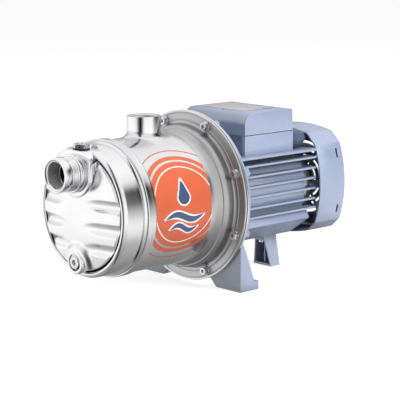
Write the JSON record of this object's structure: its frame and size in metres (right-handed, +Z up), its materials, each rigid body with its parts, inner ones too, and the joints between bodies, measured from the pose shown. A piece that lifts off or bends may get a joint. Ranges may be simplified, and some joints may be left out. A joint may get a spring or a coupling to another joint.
{
  "type": "shallow well jet pump",
  "caption": "Stainless shallow well jet pump with fluted domed front, raised suction port, top discharge port, flanged body, ribbed fan-cooled motor, terminal box and feet.",
  "frame": {"origin": "midway between the two front foot bolt holes, on the base plane", "axes": "+X along the shaft from the pump end to the fan end, +Z up"},
  "size_m": [0.4068, 0.206, 0.209],
  "materials": {
    "stainless": "bright drawn stainless sheet, finely brushed",
    "plated_fasteners": "bright stainless fasteners",
    "grey_cast_aluminium": "satin blue-grey paint on aluminium",
    "bare_aluminium": "bare machined aluminium",
    "grey_moulding": "satin blue-grey moulding",
    "dark_grey_moulding": "satin slate-coloured moulding",
    "black_moulding": "glass-filled black moulding",
    "rubber_seals": "moulded black rubber",
    "shaft_steel": "ground steel",
    "laminations": "stacked and varnished electrical steel",
    "copper": "enamelled copper wire",
    "brass_parts": "turned brass",
    "ceramic": "polished ceramic",
    "carbon": "carbon graphite",
    "white_moulding": "white moulded can",
    "label": "plain printed foil, left blank"
  },
  "bodies": {
    "frame": {"back_plate": "stainless", "body_gasket": "rubber_seals", "casing_barrel": "stainless", "diffuser": "black_moulding", "discharge_socket": "stainless", "drain_boss": "stainless", "fan_cover": "grey_moulding", "fan_cover_screws": "plated_fasteners", "filler_boss": "stainless", "flange_bolts": "plated_fasteners", "front_bearing_outer_ring": "shaft_steel", "front_head": "stainless", "gland_body": "dark_grey_moulding", "gland_nut": "dark_grey_moulding", "gland_seal": "rubber_seals", "label_plate": "label", "motor_bracket": "grey_cast_aluminium", "motor_casing": "grey_cast_aluminium", "nozzle": "brass_parts", "preload_washer": "shaft_steel", "rear_bearing_outer_ring": "shaft_steel", "rear_shield": "bare_aluminium", "rear_support": "grey_moulding", "rear_support_screw": "plated_fasteners", "run_capacitor": "white_moulding", "seal_seat": "ceramic", "seal_seat_cup": "rubber_seals", "stator_core": "laminations", "stator_windings": "copper", "suction_chamber": "black_moulding", "suction_socket": "stainless", "terminal_block": "black_moulding", "terminal_box_base": "grey_moulding", "terminal_box_gasket": "rubber_seals", "terminal_box_lid": "grey_moulding", "terminal_box_screws": "plated_fasteners", "terminal_screws": "brass_parts", "tie_rods": "plated_fasteners", "venturi_seal": "rubber_seals", "venturi_tube": "black_moulding"},
    "front_balls": {"front_bearing_balls": "shaft_steel"},
    "rear_balls": {"rear_bearing_balls": "shaft_steel"},
    "filler": {"filler_plug": "plated_fasteners", "filler_plug_seal": "rubber_seals"},
    "drain": {"drain_plug": "plated_fasteners", "drain_plug_seal": "rubber_seals"},
    "rotor": {"rotor_shaft": "shaft_steel", "rotor_core": "laminations", "rotor_end_rings": "bare_aluminium", "impeller": "black_moulding", "impeller_key": "plated_fasteners", "impeller_washer": "plated_fasteners", "impeller_nut": "plated_fasteners", "seal_face": "carbon", "seal_bellows": "rubber_seals", "seal_spring": "shaft_steel", "shaft_slinger": "rubber_seals", "front_bearing_inner_ring": "shaft_steel", "rear_bearing_inner_ring": "shaft_steel", "fan": "black_moulding"}
  },
  "joints": [
    {"name": "rotor_spin", "type": "hinge", "parent": "frame", "child": "rotor", "pos_m": [0, 0, 0.106], "axis": [1, 0, 0], "continuous": true},
    {"name": "front_ball_spin", "type": "hinge", "parent": "frame", "child": "front_balls", "pos_m": [0.003, 0, 0.106], "axis": [1, 0, 0], "continuous": true},
    {"name": "rear_ball_spin", "type": "hinge", "parent": "frame", "child": "rear_balls", "pos_m": [0.1295, 0, 0.106], "axis": [1, 0, 0], "continuous": true},
    {"name": "filler_plug_lift", "type": "slide", "parent": "frame", "child": "filler", "axis": [0, 0, 1], "range_m": [0, 0.012]},
    {"name": "drain_plug_draw", "type": "slide", "parent": "frame", "child": "drain", "axis": [-1, 0, 0], "range_m": [0, 0.014]}
  ],
  "couplings": [
    {"joint": "front_ball_spin", "follows": "rotor_spin", "ratio": 0.3825},
    {"joint": "rear_ball_spin", "follows": "rotor_spin", "ratio": 0.382}
  ]
}
